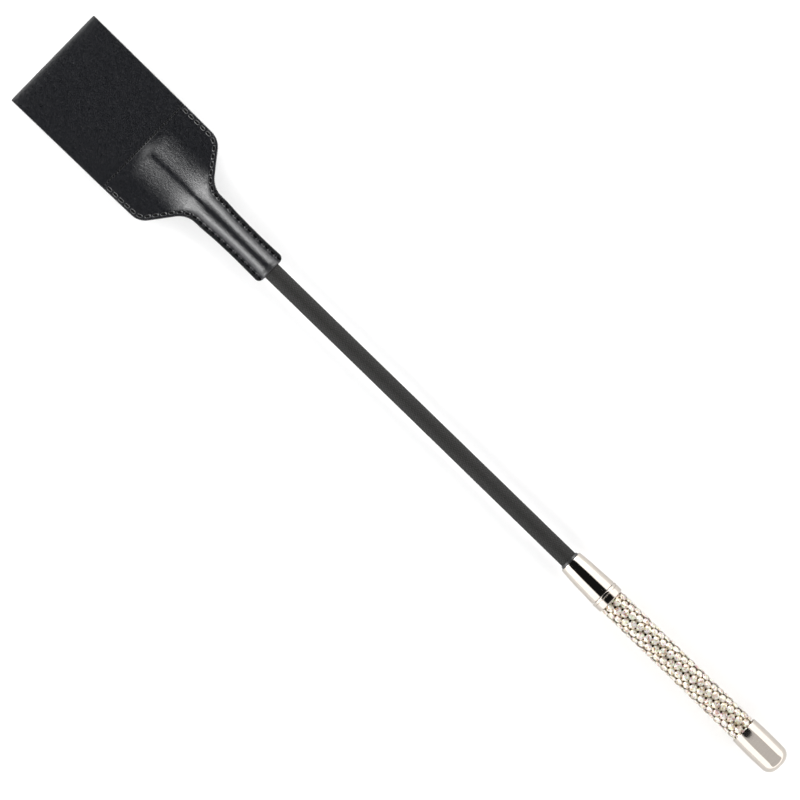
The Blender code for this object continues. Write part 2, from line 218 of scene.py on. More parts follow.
# black ABS, black EPDM tube, polyethylene tube, glass-filled nylon, pultruded glass fibre
blackPlastic = plastic("blackPlastic", "#0d0d0e", "#171718", (0.3, 0.42), 1.2, 10 * micron)
rubberSleeve = plastic("rubberSleeve", "#08080a", "#111113", (0.7, 0.85), 0.8, 20 * micron)
jacketTube = plastic("jacketTube", "#1b1b1d", "#29292b", (0.45, 0.6), 0.9, 10 * micron)
coreTube = plastic("coreTube", "#5b5b5e", "#707073", (0.4, 0.55), 0.7, 10 * micron)
glassFibre = plastic("glassFibre", "#a89c6f", "#d8cf9f", (0.3, 0.45), 2.5, 10 * micron)


# Room: pale paper floor, white surround, two soft boxes and a dark card overhead

room = {
    "surround": 2.5,
    "boxRadiance": 9.0, "boxTall": 0.42, "boxLong": 0.85, "boxFar": 1.0, "boxTilt": 60, "boxAlong": -0.325,
    "cardHeight": 0.6, "cardHalf": 0.4, "cardStart": -1.0, "cardEnd": 0.301, "cardRound": 0.035,
    "cardRadiance": 0.015, "stripStart": 0.0, "stripEnd": 2.5, "stripEndHalf": 1.6, "stripRadiance": 1.05,
}
world = bpy.data.worlds.new("surround")
world.use_nodes = True
world.node_tree.nodes["Background"].inputs["Color"].default_value = (1, 1, 1, 1)
world.node_tree.nodes["Background"].inputs["Strength"].default_value = room["surround"]
scene.world = world


def meshObject(name, points, faces, materials):
    data = bpy.data.meshes.new(name)
    data.from_pydata([tuple(p) for p in points], [], faces)
    for material in materials:
        data.materials.append(material)
    made = bpy.data.objects.new(name, data)
    scene.collection.objects.link(made)
    return made


def glowing(name, radiance):
    material = bpy.data.materials.new(name)
    material.use_nodes = True
    tree = material.node_tree
    tree.nodes.clear()
    glow = add(tree, "ShaderNodeEmission", {"Color": (1, 1, 1, 1), "Strength": radiance})
    add(tree, "ShaderNodeOutputMaterial", {"Surface": glow})
    return material


# matt white background paper, its fibres drawn coarser than real
paper, paperTree, paperShader, paperPlace = startMaterial("floorPaper")
paperFibres = add(paperTree, "ShaderNodeTexNoise", {"Vector": paperPlace, "Scale": 0.5, "Detail": 4.0})
shadeWith(paperTree, paperShader, "#eaeaea", "#ededed", paperFibres.outputs[0], (0.85, 0.95))
floorHalf, floorDrop = 6, -50 * micron  # metres; just under the crop
floor = meshObject("floor", [
    (-floorHalf, -floorHalf, floorDrop), (floorHalf, -floorHalf, floorDrop),
    (floorHalf, floorHalf, floorDrop), (-floorHalf, floorHalf, floorDrop),
], [(0, 1, 2, 3)], [paper])

cardRing = []
for k in range(25):  # blunt rounded end over the handle
    angle = math.pi * (k / 24 - 0.5)
    cardRing.append((
        room["cardEnd"] - room["cardRound"] + room["cardRound"] * math.cos(angle) ** 0.8,
        room["cardHalf"] * math.copysign(abs(math.sin(angle)) ** 0.5, angle), room["cardHeight"],
    ))
cardRing += [
    (room["cardStart"], room["cardHalf"], room["cardHeight"]),
    (room["cardStart"], -room["cardHalf"], room["cardHeight"]),
]
cardDark = glowing("cardDark", room["cardRadiance"])
card = meshObject("card", cardRing, [tuple(range(len(cardRing)))], [cardDark])
stripHeight = room["cardHeight"] + 0.01
strip = meshObject("strip", [
    (room["stripStart"], -room["cardHalf"], stripHeight),
    (room["stripEnd"], -room["stripEndHalf"], stripHeight),
    (room["stripEnd"], room["stripEndHalf"], stripHeight),
    (room["stripStart"], room["cardHalf"], stripHeight),
], [(0, 1, 2, 3)], [glowing("stripGrey", room["stripRadiance"])])
for board in (card, strip):
    board.visible_camera = False

for side in (-1, 1):
    light = bpy.data.lights.new("softBox", "AREA")
    light.shape = "RECTANGLE"
    light.size = room["boxLong"]
    light.size_y = room["boxTall"]
    light.energy = room["boxRadiance"] * math.pi * room["boxLong"] * room["boxTall"]
    tilt = math.radians(room["boxTilt"])
    box = bpy.data.objects.new("softBox", light)
    away, up = room["boxFar"] * math.sin(tilt), room["boxFar"] * math.cos(tilt)
    box.location = (room["boxAlong"], side * away, up)
    box.rotation_euler = (-side * tilt, 0, 0)
    box.visible_camera = False
    scene.collection.objects.link(box)
print("stage: camera, floor, lights")


# Turned pieces

def withCuts(corners, steps=6):
    # closed profile of (x, radius, cut); each corner is rounded off over its cut
    path = []
    for k, (x, r, cut) in enumerate(corners):
        here = np.array((x, r))
        if cut == 0:
            path.append(tuple(here))
            continue
        before = np.array(corners[k - 1][:2]) - here
        after = np.array(corners[(k + 1) % len(corners)][:2]) - here
        start = here + before / np.linalg.norm(before) * cut
        end = here + after / np.linalg.norm(after) * cut
        for t in np.linspace(0, 1, steps + 1):
            path.append(tuple(start * (1 - t) ** 2 + here * 2 * t * (1 - t) + end * t * t))
    return path


def smoothThrough(knots, step):
    # monotone curve through (x, radius) knots
    x, r = np.array(knots, float).T
    gap = np.diff(x)
    slope = np.diff(r) / gap
    tangent = np.concatenate([[slope[0]], (slope[1:] + slope[:-1]) / 2, [slope[-1]]])
    path = []
    for k in range(len(gap)):
        count = max(2, int(math.ceil(gap[k] / step)))
        for t in np.linspace(0, 1, count, endpoint=False):
            h00, h10 = 2 * t**3 - 3 * t**2 + 1, t**3 - 2 * t**2 + t
            h01, h11 = 3 * t**2 - 2 * t**3, t**3 - t**2
            value = h00 * r[k] + h10 * gap[k] * tangent[k] + h01 * r[k + 1] + h11 * gap[k] * tangent[k + 1]
            path.append((x[k] + gap[k] * t, value))
    path.append((x[-1], r[-1]))
    return path


def lathe(name, profile, material, segments=144, sharp=32):
    # profile in millimetres: closed loop of (x, radius) anticlockwise seen with x right and radius up
    bm = bmesh.new()
    angles = np.linspace(0, 2 * math.pi, segments, endpoint=False)
    rings = []
    for x, r in profile:
        if r < 1e-6:
            rings.append([bm.verts.new((x * mm, 0, axisHeight))] * segments)
            continue
        rings.append([
            bm.verts.new((x * mm, r * mm * math.sin(a), axisHeight + r * mm * math.cos(a))) for a in angles
        ])
    closed = profile[0][1] > 1e-6
    for k in range(len(rings) if closed else len(rings) - 1):
        near, far = rings[k], rings[(k + 1) % len(rings)]
        for j in range(segments):
            i = (j + 1) % segments
            corners = []
            for vert in (near[j], near[i], far[i], far[j]):
                if vert not in corners:
                    corners.append(vert)
            bm.faces.new(corners)
    bmesh.ops.recalc_face_normals(bm, faces=bm.faces)
    data = bpy.data.meshes.new(name)
    bm.to_mesh(data)
    bm.free()
    data.materials.append(material)
    data.shade_smooth()
    data.set_sharp_from_angle(angle=math.radians(sharp))
    made = bpy.data.objects.new(name, data)
    scene.collection.objects.link(made)
    return made


def settle(piece, slotName, *nodes):
    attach(piece, "crop_body")
    if nodes:
        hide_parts(*nodes)


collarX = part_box("collar")[0].x / mm
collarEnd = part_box("collar")[1].x / mm
bell = {
    "wall": [
        (0.35, 7.5), (1.6, 7.7), (4, 7.9), (9, 8.3), (17, 8.66), (21, 8.84), (24.3, 8.99), (25.6, 9.04),
    ],
    "end": 9.07, "bore": 6.95, "lip": 7.15,
}
outside = smoothThrough(bell["wall"] + [(collarEnd - collarX - 0.25, bell["end"])], 0.35)
collarProfile = [
    (collarX + 0.1, bell["bore"]), (collarX, bell["bore"] + 0.1),
    (collarX, bell["lip"]), (collarX + 0.08, bell["lip"] + 0.2),
]
collarProfile += [(collarX + x, r) for x, r in outside]
collarProfile += [(collarEnd - 0.04, 9.05), (collarEnd, 9.0), (collarEnd, bell["bore"])]
settle(lathe("bellCollar", collarProfile, polishedNickel), "polished_nickel", "collar")

ringLow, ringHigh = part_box("collar_ring")
ringX, ringEnd, bead = ringLow.x / mm, ringHigh.x / mm, ringHigh.z / mm - axisHeight / mm
beadedRing = {
    "bore": 7.5, "seat": 8.2, "seatAt": 2.6, "face": 9.1, "groove": 9.08, "land": 9.26,
    "tail": 9.17, "shoulder": 8.95, "back": 8.5,
}
seatX = ringX + beadedRing["seatAt"]
ringProfile = withCuts([
    (ringX, beadedRing["bore"], 0), (ringX, beadedRing["face"], 0.06),
    (ringX + 0.42, bead, 0.15), (ringX + 1.58, bead, 0.12),
    (ringX + 1.72, beadedRing["groove"], 0.06), (ringX + 1.9, beadedRing["groove"], 0.06),
    (ringX + 2.05, beadedRing["land"], 0.08), (ringEnd - 0.55, beadedRing["tail"], 0.15),
    (ringEnd - 0.2, beadedRing["shoulder"], 0.2), (ringEnd, beadedRing["back"], 0.1),
    (ringEnd, beadedRing["seat"], 0),
    (seatX, beadedRing["seat"], 0), (seatX, beadedRing["bore"], 0),
])
settle(lathe("beadedRing", ringProfile, polishedNickel), "polished_nickel", "collar_ring")

capLow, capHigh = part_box("end_cap")
capX, capEnd = capLow.x / mm, capHigh.x / mm
endCap = {
    "swell": [(0.35, 9.03), (4, 9.2), (8, 9.31), (14, 9.33), (20, 9.27)], "endRadius": 9.2,
    "corner": 6.4, "bore": 8.25, "floor": 296.5, "flat": 2.0,
}
capProfile = [(capX + 0.6, endCap["bore"]), (capX + 0.1, 8.5), (capX, 8.75), (capX + 0.1, 8.94)]
capSide = smoothThrough(endCap["swell"] + [(capEnd - capX - endCap["corner"], endCap["endRadius"])], 0.6)
capProfile += [(capX + x, r) for x, r in capSide[:-1]]
for k in range(17):  # rounded corner into the flat end
    angle = math.pi / 2 * (1 - k / 16)
    capProfile.append((
        capEnd + endCap["corner"] * (math.cos(angle) - 1),
        endCap["endRadius"] + endCap["corner"] * (math.sin(angle) - 1),
    ))
capInside = [(endCap["floor"], 0), (endCap["floor"], 7.9), (endCap["floor"] - 0.4, endCap["bore"])]
capProfile = capInside + capProfile + [(capEnd, endCap["flat"]), (capEnd, 0)]
settle(lathe("roundedCap", capProfile, polishedNickel), "polished_nickel", "end_cap")

bushLow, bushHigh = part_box("collar_bush")
bushX, bushEnd = bushLow.x / mm, bushHigh.x / mm
bush = {"start": 0.5, "bore": 5.85, "mouth": 6.05, "flareEnd": 1.6, "radius": 6.5}
bushProfile = withCuts([
    (bushX + bush["start"], bush["bore"], 0), (bushX + bush["start"], bush["mouth"], 0.1),
    (bushX + bush["flareEnd"], bush["radius"], 0.3), (bushEnd, bush["radius"], 0.2),
    (bushEnd, bush["bore"], 0),
])
settle(lathe("flaredBush", bushProfile, blackPlastic), "black_plastic", "collar_bush")

sleeve = {"bore": 6.7, "radius": 7.2}
backing = {"bore": 7.3, "radius": 7.6}


def tubeProfile(node, sizes):
    low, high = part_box(node)
    return [
        (low.x / mm, sizes["bore"]), (low.x / mm, sizes["radius"]),
        (high.x / mm, sizes["radius"]), (high.x / mm, sizes["bore"]),
    ]


gripSleeve = lathe("gripSleeve", tubeProfile("handle_sleeve", sleeve), rubberSleeve)
settle(gripSleeve, "black_plastic", "handle_sleeve")
gripBacking = lathe("gripBacking", tubeProfile("crystal_band", backing), backingFoil)
settle(gripBacking, "crystal_stones", "crystal_band")
print("turned pieces")


# Leather outline, in millimetres; stations run from the cross seam towards the handle

yoke = {
    "rootHalf": 34.5, "sideHalf": 34.2, "slope": 1.3, "slantAt": 38.7, "slantHalf": 21.8, "shoulder": 12,
    "throat": 14, "throatReach": 17, "waist": 10.15, "waistAt": 86, "flare": 0.00105,
    "end": 105.6, "corner": 3.4, "margin": 3.1, "thick": 1.4, "layerGap": 0.24,
    "overBoot": 3.79, "overBraid": 5.94, "riseEnd": 9, "swellStart": 26, "swellEnd": 46,
    "tent": 19, "tubeStart": 33, "tubeEnd": 54,  # the tent over the boot turns into a tube over the braid
    "tentPower": 1.7, "tubePower": 0.65, "borderBlend": 4.0, "narrower": 0.9,
    "crown": 0.13, "crownMore": 0.08, "crownAt": 43, "crownLong": 9,  # rounding of the tent's ridge
    "press": 0.9, "pressLong": 4.2, "wave": 0.035, "waveLong": 9.0,
}
flat = yoke["layerGap"] / 2
flatTop = 1.6  # outer face of the flat leather, above the middle plane


def ease(low, high, value):
    share = np.clip((value - low) / (high - low), 0, 1)
    return share * share * (3 - 2 * share)


def roundOff(radius, along):
    return np.sqrt(np.maximum(radius**2 - along**2, 0))


def neckHalf(s):
    return yoke["waist"] + yoke["flare"] * (s - yoke["waistAt"]) ** 2


def yokeHalf(s):
    s = np.asarray(s, float)
    slope, slantAt, slantHalf = yoke["slope"], yoke["slantAt"], yoke["slantHalf"]
    angle = math.atan(slope)
    corner = slantAt - (yoke["sideHalf"] - slantHalf) / slope
    cut = yoke["shoulder"] * math.tan(angle / 2)
    shoulderStart, shoulderEnd = corner - cut, corner + cut * math.cos(angle)
    throatHalf = neckHalf(slantAt + yoke["throatReach"])
    throatAt = slantAt + (slantHalf - throatHalf) / slope
    throatCut = yoke["throat"] * math.tan(angle / 2)
    throatStart, throatEnd = throatAt - throatCut * math.cos(angle), throatAt + throatCut
    side = yoke["rootHalf"] + (yoke["sideHalf"] - yoke["rootHalf"]) * np.clip(s / shoulderStart, 0, 1)
    shoulder = side - yoke["shoulder"] + roundOff(yoke["shoulder"], s - shoulderStart)
    slant = slantHalf - slope * (s - slantAt)
    throat = throatHalf + yoke["throat"] - roundOff(yoke["throat"], throatEnd - s)
    neck = throatHalf + (neckHalf(s) - throatHalf) * ease(throatEnd, throatEnd + yoke["throat"], s)
    return np.select([s <= shoulderStart, s <= shoulderEnd, s <= throatStart, s <= throatEnd],
                     [side, shoulder, slant, throat], neck)


def edgeSlope(s):
    return (yokeHalf(s + 0.1) - yokeHalf(s - 0.1)) / 0.2


def crest(s):
    # height of the inner face over the shaft
    rise = ease(-1, yoke["riseEnd"], s)
    swell = ease(yoke["swellStart"], yoke["swellEnd"], s)
    return 0.2 + (yoke["overBoot"] - 0.2) * rise + (yoke["overBraid"] - yoke["overBoot"]) * swell


def panelShape(s, y, spread):
    near = np.minimum(s, yoke["end"] - 3)
    border = yoke["margin"] * np.hypot(1, edgeSlope(near))
    wide, most = yokeHalf(near) - border, yoke["tent"]
    half = (wide + most - np.hypot(wide - most, yoke["borderBlend"])) / 2
    part = np.minimum(np.abs(y) / (half + spread), 1)
    tube = np.maximum(1 - part * part, 0) ** yoke["tubePower"]
    crown = yoke["crown"] + yoke["crownMore"] * np.exp(-(((s - yoke["crownAt"]) / yoke["crownLong"]) ** 2))
    rounded = np.hypot(part, crown) - crown
    tent = np.maximum(1 - rounded / (np.hypot(1, crown) - crown), 0) ** yoke["tentPower"]
    return tent + (tube - tent) * ease(yoke["tubeStart"], yoke["tubeEnd"], s)


def innerFace(s, y):
    return flat + (crest(s) - flat) * panelShape(s, y, -yoke["narrower"])


def outerFace(s, y):
    pressed = yoke["press"] * ease(yoke["end"] - yoke["pressLong"], yoke["end"], s)
    return flatTop + (crest(s) + yoke["thick"] - pressed - flatTop) * panelShape(s, y, 0)


# Seams: stitch places shared by the sunk leather and the thread

seams = {
    "edgeInset": 2.3, "edgePitch": 4.75, "edgeStart": 3.6, "edgeEnd": 103.6, "edgeSeat": 0.54,
    "sink": 0.8, "sinkLong": 1.5, "sinkWide": 0.66, "rim": 0.2, "rimWide": 0.95,
    "crossPitch": 2.0, "crossCount": 34, "crossSeat": 0.36, "crossGroove": 0.05, "grooveWide": 0.55,
    "crossHole": 0.4, "holeWide": 0.5, "holeLong": 0.6,
}
along = np.linspace(0, yoke["end"], 4000)
slopes = edgeSlope(along) * ease(0, 3, along) * (1 - ease(97, 104, along))
edgeCurve = np.stack([along, yokeHalf(along)], 1)
inward = np.stack([slopes, -np.ones_like(slopes)], 1) / np.hypot(1, slopes)[:, None]
seamLine = edgeCurve + inward * seams["edgeInset"]
seamRun = np.concatenate([[0], np.cumsum(np.linalg.norm(np.diff(seamLine, axis=0), axis=1))])
firstRun = np.interp(seams["edgeStart"], seamLine[:, 0], seamRun)
lastRun = np.interp(seams["edgeEnd"], seamLine[:, 0], seamRun)
edgeCount = int(round((lastRun - firstRun) / seams["edgePitch"])) + 1
stitchRuns = np.linspace(firstRun, lastRun, edgeCount)
crossHalf = seams["crossPitch"] * (seams["crossCount"] - 1) / 2


def seamSink(run, inset):
    # depth of the sunk stitches, less the leather pushed up between them
    across = inset - seams["edgeInset"]
    nearest = np.min(np.abs(run[..., None] - stitchRuns), axis=-1)
    within = (run > firstRun - 2.5) & (run < lastRun + 2.5)
    rim = seams["rim"] * np.exp(-((across / seams["rimWide"]) ** 2)) * within
    hole = np.exp(-((nearest / seams["sinkLong"]) ** 4) - (across / seams["sinkWide"]) ** 4)
    return (seams["sink"] + seams["rim"]) * hole - rim


def crossSink(s, y):
    pitch = seams["crossPitch"]
    phase = np.abs((y + crossHalf + pitch / 2) % pitch - pitch / 2)
    within = np.abs(y) < crossHalf + 1.2
    groove = seams["crossGroove"] * np.exp(-((s / seams["grooveWide"]) ** 2)) * within
    hole = np.exp(-((s / seams["holeWide"]) ** 4) - (phase / seams["holeLong"]) ** 4)
    return groove + seams["crossHole"] * hole * within


def unevenness(points, size, amount):
    return np.array([noise.noise(Vector((x / size, y / size, z / size))) for x, y, z in points]) * amount


def closedSheet(name, top, under, materials):
    # top and under are grids of points in millimetres; the rim between them is the cut edge
    rows, columns = top.shape[:2]
    points = np.concatenate([top.reshape(-1, 3), under.reshape(-1, 3)]) * mm
    index = np.arange(rows * columns).reshape(rows, columns)
    a, b = index[:-1, :-1].ravel(), index[:-1, 1:].ravel()
    c, d = index[1:, 1:].ravel(), index[1:, :-1].ravel()
    lower = rows * columns
    faces = np.concatenate([np.stack([a, b, c, d], 1), np.stack([d, c, b, a], 1) + lower])
    loop = np.concatenate([index[0, :-1], index[:-1, -1], index[-1, :0:-1], index[:0:-1, 0]])
    after = np.roll(loop, -1)
    rim = np.stack([loop, loop + lower, after + lower, after], 1)
    made = meshObject(name, points, np.concatenate([faces, rim]).tolist(), materials)
    slots = np.zeros(len(faces) + len(rim), np.int32)
    slots[len(faces):] = 1
    made.data.polygons.foreach_set("material_index", slots)
    bm = bmesh.new()
    bm.from_mesh(made.data)
    bmesh.ops.recalc_face_normals(bm, faces=bm.faces)
    bm.to_mesh(made.data)
    bm.free()
    made.data.shade_smooth()
    made.data.set_sharp_from_angle(angle=math.radians(55))
    return made


edgeInsets = np.array([
    0, 0.1, 0.25, 0.45, 0.7, 0.98, 1.26, 1.54, 1.82, 2.1, 2.38, 2.66, 2.94, 3.22, 3.5, 3.8, 4.15, 4.5,
])


def roundedEdge(inset, radius=0.4):
    return radius - roundOff(radius, radius - np.minimum(inset, radius))


def yokePanel(name, side):
    run = np.concatenate([[0], np.cumsum(np.linalg.norm(np.diff(edgeCurve, axis=0), axis=1))])
    rowRuns = np.concatenate([np.linspace(0, 2, 9)[:-1], np.linspace(2, run[-1], 235)])
    edgeS, edgeY = np.interp(rowRuns, run, along), np.interp(rowRuns, run, edgeCurve[:, 1])
    normalS, normalY = np.interp(rowRuns, run, inward[:, 0]), np.interp(rowRuns, run, inward[:, 1])
    marginS = edgeS[:, None] + normalS[:, None] * edgeInsets
    marginY = edgeY[:, None] + normalY[:, None] * edgeInsets
    share = np.linspace(1, -1, 133)[1:-1]
    innerS = np.repeat(marginS[:, -1:], len(share), axis=1)
    innerY = marginY[:, -1:] * share
    s = np.concatenate([marginS, innerS, marginS[:, ::-1]], 1)
    y = np.concatenate([marginY, innerY, -marginY[:, ::-1]], 1)
    inset = np.concatenate([edgeInsets, np.full(len(share), 9.0), edgeInsets[::-1]])
    lost = yoke["corner"] - roundOff(yoke["corner"], np.maximum(s - (yoke["end"] - yoke["corner"]), 0))
    y -= np.sign(y) * lost * np.clip(1 - inset / 4.5, 0, 1) ** 2  # rounds the neck's corners
    seamAt = np.repeat(np.interp(rowRuns, run, seamRun)[:, None], s.shape[1], axis=1)
    top = outerFace(s, y) - seamSink(seamAt, np.repeat(inset[None], len(s), 0)) - crossSink(s, y)
    top -= roundedEdge(np.minimum(np.repeat(inset[None], len(s), 0), yoke["end"] - s))
    flatPoints = np.stack([s, y, np.full_like(s, 7.0 * side)], -1).reshape(-1, 3)
    top += unevenness(flatPoints, yoke["waveLong"], yoke["wave"]).reshape(s.shape) * ease(0.5, 6, s)
    under = np.minimum(innerFace(s, y), top - 0.3)
    under += roundedEdge(np.repeat(inset[None], len(s), 0), 0.2)
    x = seamX / mm + s
    z = axisHeight / mm
    return closedSheet(name, np.stack([x, y, z + side * top], -1), np.stack([x, y, z + side * under], -1),
                       [coatedLeather, paintedEdge])


settle(yokePanel("yokeFrontLeather", 1), "flap_leather", "yoke_front")
settle(yokePanel("yokeBackLeather", -1), "flap_leather", "yoke_back")
print("yoke")

flap = {
    "reach": 63.71, "droop": math.radians(6.116), "rootHalf": 34.5, "tipHalf": 35.05,
    "foldLong": 9, "foldHalf": 2.4, "bluffness": 0.55, "thick": 1.4, "hinge": -3.2, "bendEnd": -6.4,
    "wave": 0.125, "waveLong": 26.0, "small": 0.03, "smallLong": 8.0,
}


def flapSheet():
    foldAt = flap["reach"] - flap["hinge"]
    runs = np.concatenate([np.linspace(0, 2, 9)[:-1], np.linspace(2, foldAt, 72)])
    topRise = flatTop + (flap["foldHalf"] - flatTop) * ease(4.5, foldAt, runs)
    innerRise = np.maximum(topRise - flap["thick"], flat)
    angles = np.linspace(math.pi / 2, -math.pi / 2, 27)[1:-1]
    foldS = foldAt + flap["foldLong"] * np.cos(angles)
    # the faces stay flat almost to the tip
    bluff = np.sign(np.sin(angles)) * np.abs(np.sin(angles)) ** flap["bluffness"]
    foldZ = flap["foldHalf"] * bluff
    innerS = foldAt + (flap["foldLong"] - flap["thick"]) * np.cos(angles)
    innerZ = (flap["foldHalf"] - flap["thick"]) * bluff
    outS = np.concatenate([runs, foldS, runs[::-1]])
    outZ = np.concatenate([topRise, foldZ, -topRise[::-1]])
    inS = np.concatenate([runs, innerS, runs[::-1]])
    inZ = np.concatenate([innerRise, innerZ, -innerRise[::-1]])
    middle = np.linspace(1, -1, 151)[1:-1]
    ends = edgeInsets[edgeInsets <= 1.0]
    share = np.clip(outS / (foldAt + flap["foldLong"]), 0, 1)
    half = flap["rootHalf"] + (flap["tipHalf"] - flap["rootHalf"]) * share
    inner = half - ends[-1]
    y = np.concatenate([
        half[:, None] - ends, inner[:, None] * middle, -(half[:, None] - ends[::-1]),
    ], 1)
    inset = np.concatenate([ends, np.full(len(middle), 9.0), ends[::-1]])
    side = np.sign(outZ + 1e-9)[:, None]
    drop = roundedEdge(inset)[None] + crossSink(outS[:, None], y)
    outZ2 = outZ[:, None] - side * drop * np.clip(np.abs(outZ[:, None]) / 1.2, 0, 1)
    outS2 = np.repeat(outS[:, None], y.shape[1], 1)
    foldCurl = roundedEdge(inset)[None] * np.clip((outS[:, None] - foldAt) / flap["foldLong"], 0, 1)
    outS2 = outS2 - foldCurl
    inS2 = np.repeat(inS[:, None], y.shape[1], 1)
    inZ2 = np.repeat(inZ[:, None], y.shape[1], 1)
    # soft waves in the whole flap, none at the cross seam
    middlePlane = np.stack([outS2, y, np.zeros_like(y)], -1).reshape(-1, 3)
    wave = unevenness(middlePlane, flap["waveLong"], flap["wave"]).reshape(y.shape)
    wave = wave * ease(6, 22, outS2) * (1 - ease(foldAt - 4, foldAt + 6, outS2))
    faces = np.stack([outS2, y, side * 40 + 0 * y], -1).reshape(-1, 3)
    small = unevenness(faces, flap["smallLong"], flap["small"]).reshape(y.shape) * ease(1, 6, outS2)
    grids = []
    for s, z in ((outS2, outZ2 + side * small), (inS2, inZ2)):
        z = z + wave
        # the rest droop, bent over the same short length that the hinge bends
        share = ease(0, -flap["bendEnd"], s)
        angle = flap["droop"] * share
        arm = s + flap["hinge"]
        x = -(arm * np.cos(angle) + z * np.sin(angle))
        height = z * np.cos(angle) - arm * np.sin(angle)
        grids.append(np.stack([hinge.x / mm + x, y, axisHeight / mm + height], -1))
    made = closedSheet("flapLeather", grids[0], grids[1], [coatedLeather, paintedEdge])
    return made


flapLeather = flapSheet()
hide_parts("flap_loop")
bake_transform(flapLeather)
print("flap")


# Grown pieces

def startTree(name, sockets):
    tree = bpy.data.node_groups.new(name, "GeometryNodeTree")
    kinds = {
        int: "NodeSocketInt", float: "NodeSocketFloat", tuple: "NodeSocketVector",
        bpy.types.Material: "NodeSocketMaterial",
    }
    tree.interface.new_socket("Geometry", in_out="INPUT", socket_type="NodeSocketGeometry")
    for label, value in sockets.items():
        tree.interface.new_socket(label, in_out="INPUT", socket_type=kinds[type(value)])
    tree.interface.new_socket("Geometry", in_out="OUTPUT", socket_type="NodeSocketGeometry")
    return tree, add(tree, "NodeGroupInput").outputs


def endTree(tree, geometry, material, smooth=True):
    real = add(tree, "GeometryNodeRealizeInstances", {0: geometry})
    shaded = add(tree, "GeometryNodeSetShadeSmooth", {0: real, 2: smooth})
    painted = add(tree, "GeometryNodeSetMaterial", {"Geometry": shaded, "Material": material})
    add(tree, "NodeGroupOutput", {0: painted})


def grow(name, tree, values, base=None):
    holder = bpy.data.objects.new(name + "Source", base or bpy.data.meshes.new(name + "Source"))
    scene.collection.objects.link(holder)
    modifier = holder.modifiers.new("grow", "NODES")
    modifier.node_group = tree
    for item in tree.interface.items_tree:
        if item.in_out == "INPUT" and item.name in values:
            modifier[item.identifier] = values[item.name]
    graph = bpy.context.evaluated_depsgraph_get()
    data = bpy.data.meshes.new_from_object(holder.evaluated_get(graph), depsgraph=graph)
    data.name = name
    bpy.data.objects.remove(holder)
    made = bpy.data.objects.new(name, data)
    scene.collection.objects.link(made)
    print(name, len(data.polygons), "faces")
    return made


def stitchTree():
    sockets = {"Count": 1, "Length": 1.0, "Radius": 1.0, "Rise": 1.0, "Dip": 1.0, "Slant": 1.0, "Turn": 1.0,
               "Material": waxedThread}
    tree, given = startTree("stitches", sockets)
    half = add(tree, "ShaderNodeMath", {0: given["Length"], 1: 0.5}, operation="MULTIPLY")
    minus = add(tree, "ShaderNodeMath", {0: given["Length"], 1: -0.5}, operation="MULTIPLY")
    low = add(tree, "ShaderNodeMath", {0: given["Dip"], 1: -1.0}, operation="MULTIPLY")
    start = add(tree, "ShaderNodeCombineXYZ", {0: minus, 2: low})
    top = add(tree, "ShaderNodeCombineXYZ", {2: given["Rise"]})
    end = add(tree, "ShaderNodeCombineXYZ", {0: half, 2: low})
    arch = add(tree, "GeometryNodeCurveQuadraticBezier", {
        "Resolution": 8, "Start": start, "Middle": top, "End": end})
    section = add(tree, "GeometryNodeCurvePrimitiveCircle", {"Resolution": 7, "Radius": given["Radius"]})
    body = add(tree, "GeometryNodeCurveToMesh", {
        "Curve": arch, "Profile Curve": section.outputs[0], "Fill Caps": True})
    tilt = add(tree, "ShaderNodeCombineXYZ", {0: given["Turn"], 2: given["Slant"]})
    turned = add(tree, "GeometryNodeTransform", {"Geometry": body, "Rotation": tilt})
    spots = add(tree, "GeometryNodeCurveToPoints", {
        "Curve": given["Geometry"], "Count": given["Count"]}, mode="COUNT")
    facing = add(tree, "FunctionNodeAlignRotationToVector", {
        "Vector": spots.outputs["Tangent"]}, axis="X", pivot_axis="Z")
    placed = add(tree, "GeometryNodeInstanceOnPoints", {
        "Points": spots, "Instance": turned, "Rotation": facing})
    endTree(tree, placed, given["Material"])
    return tree


def routeCurve(name, route):
    data = bpy.data.curves.new(name, "CURVE")
    data.dimensions = "3D"
    spline = data.splines.new("POLY")
    spline.points.add(len(route) - 1)
    for point, place in zip(spline.points, route):
        point.co = (*[float(v) * mm for v in place], 1)
    return data


stitches = stitchTree()
edgeStitch = {"Count": edgeCount, "Length": 2.6 * mm, "Radius": 0.58 * mm, "Rise": 0.2 * mm,
              "Dip": 0.25 * mm, "Slant": 0.0}
crossStitch = {"Count": seams["crossCount"], "Length": 1.25 * mm, "Radius": 0.56 * mm, "Rise": 0.2 * mm,
               "Dip": 0.2 * mm, "Slant": math.radians(25)}
for face, side in (("front", 1), ("back", -1)):
    for hand, handName in ((1, "left"), (-1, "right")):
        runs = np.linspace(firstRun, lastRun, 200)
        seamS = np.interp(runs, seamRun, seamLine[:, 0])
        seamY = np.interp(runs, seamRun, seamLine[:, 1])
        height = flatTop - seams["edgeSeat"]
        route = [(seamX / mm + s, hand * y, axisHeight / mm + side * height) for s, y in zip(seamS, seamY)]
        name = "edgeStitches" + handName.capitalize() + face.capitalize()
        values = dict(edgeStitch, Turn=0.0 if side > 0 else math.pi, Material=waxedThread)
        piece = grow(name, stitches, values, routeCurve(name + "Route", route))
        settle(piece, "seam_thread", f"edge_thread_{handName}_{face}")
    height = flatTop - seams["crossSeat"]
    route = [(seamX / mm, y, axisHeight / mm + side * height) for y in (-crossHalf, crossHalf)]
    values = dict(crossStitch, Turn=0.0 if side > 0 else math.pi, Material=waxedThread)
    name = "crossStitches" + face.capitalize()
    piece = grow(name, stitches, values, routeCurve(name + "Route", route))
    settle(piece, "seam_thread", f"cross_thread_{face}")


